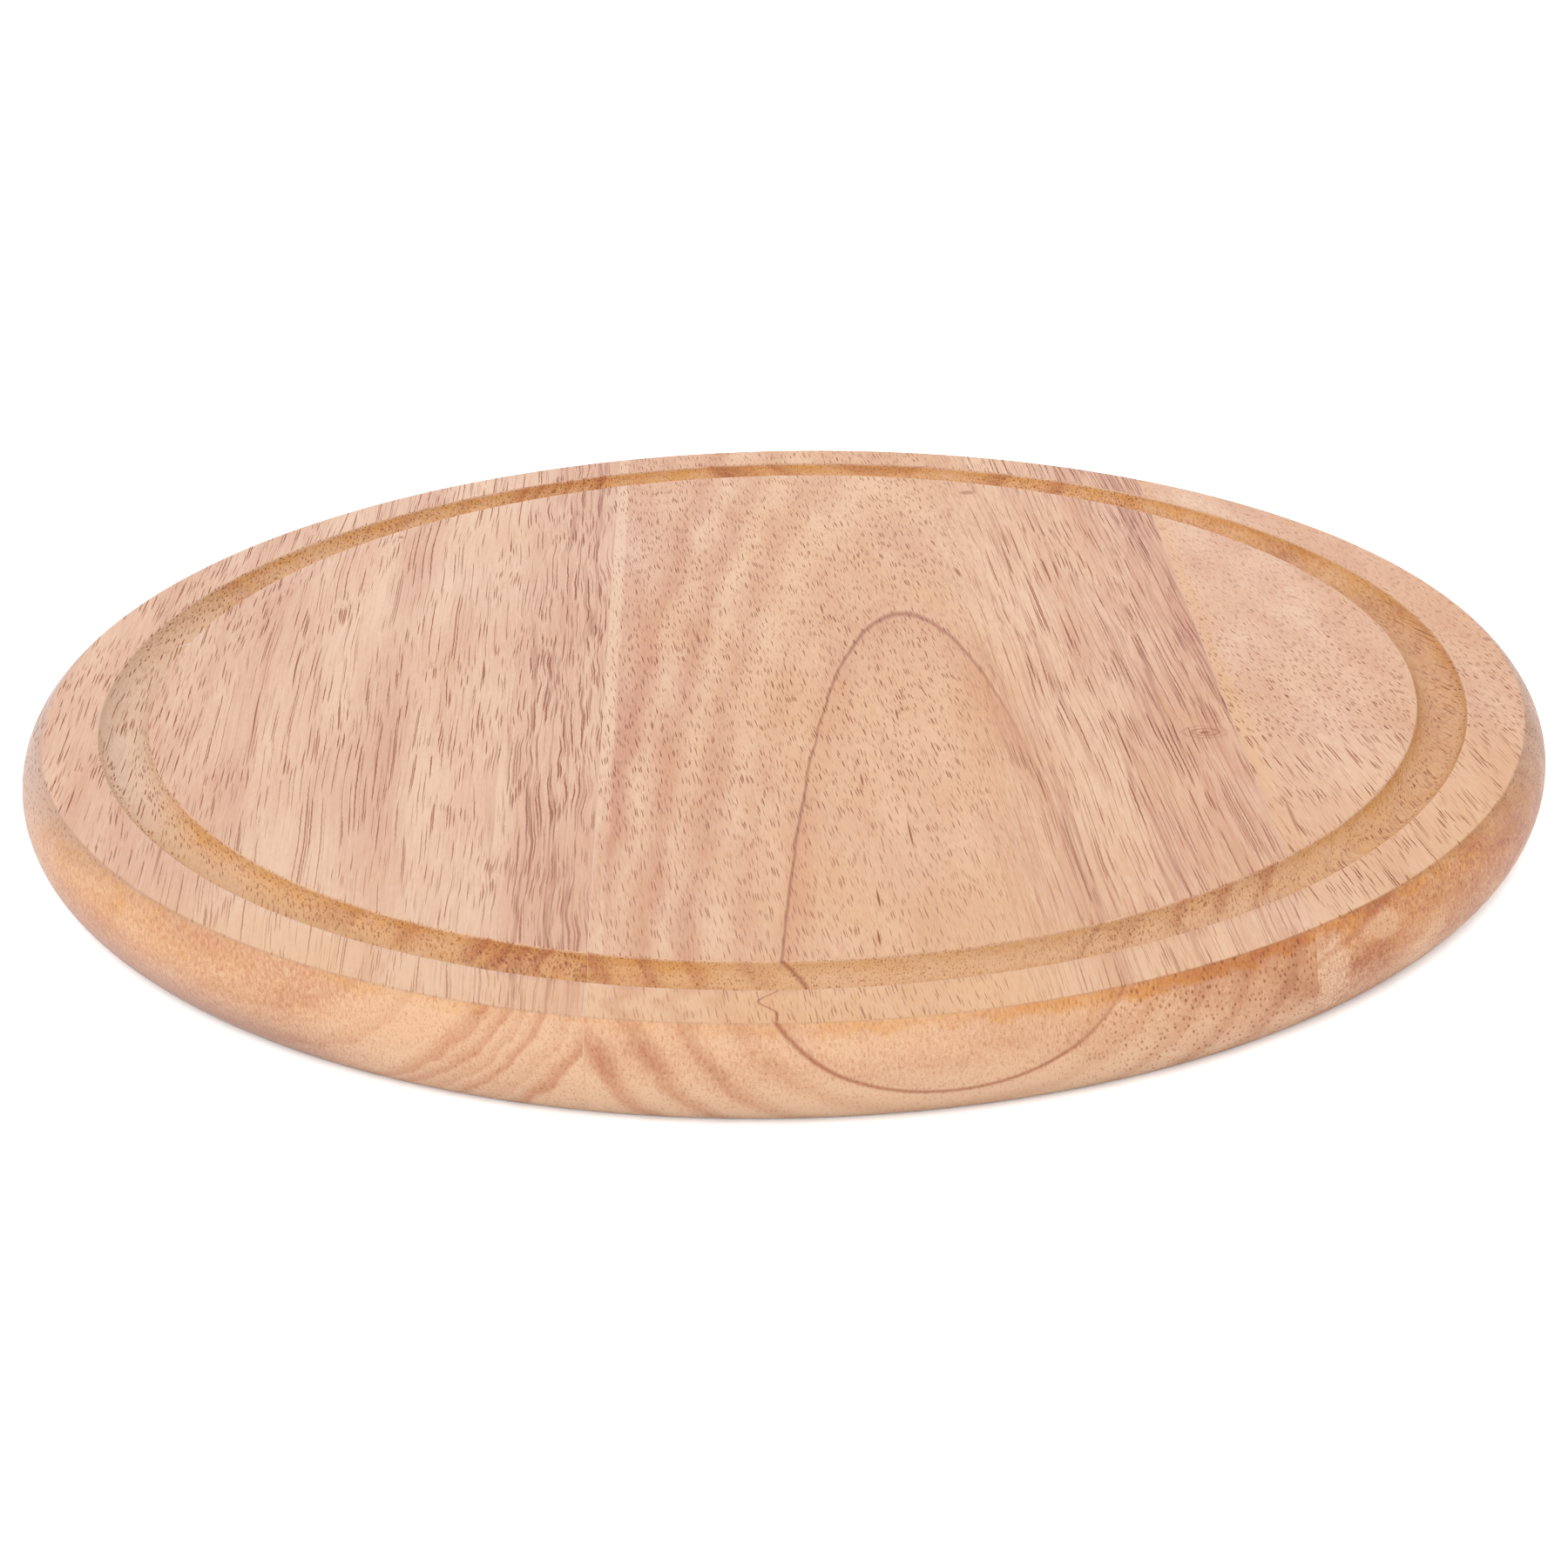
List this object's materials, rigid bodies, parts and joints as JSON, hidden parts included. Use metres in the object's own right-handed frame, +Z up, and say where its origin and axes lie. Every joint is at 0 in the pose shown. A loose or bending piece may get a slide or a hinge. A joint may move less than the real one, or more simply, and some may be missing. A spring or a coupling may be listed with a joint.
{
  "type": "round cutting board",
  "caption": "Round wooden cutting board of edge-glued staves with a rounded rim and a ring-shaped juice groove near the edge of the top face.",
  "frame": {"origin": "middle of the underside, on the surface that the board lies on", "axes": "+Z up out of the top face, grain of the staves along Y, joints across X with the widest stave at the middle"},
  "size_m": [0.3, 0.3, 0.017],
  "materials": {
    "left_stave_wood": "oiled rubberwood, pinkish beige with long dark pore lines",
    "centre_stave_wood": "oiled rubberwood, peach with a dark growth ring",
    "right_stave_wood": "oiled rubberwood, pale peach with short pore dashes",
    "glue": "dried wood glue, pale amber"
  },
  "bodies": {
    "root": {"left_stave": "left_stave_wood", "left_glue_line": "glue", "centre_stave": "centre_stave_wood", "right_glue_line": "glue", "right_stave": "right_stave_wood"}
  },
  "joints": []
}
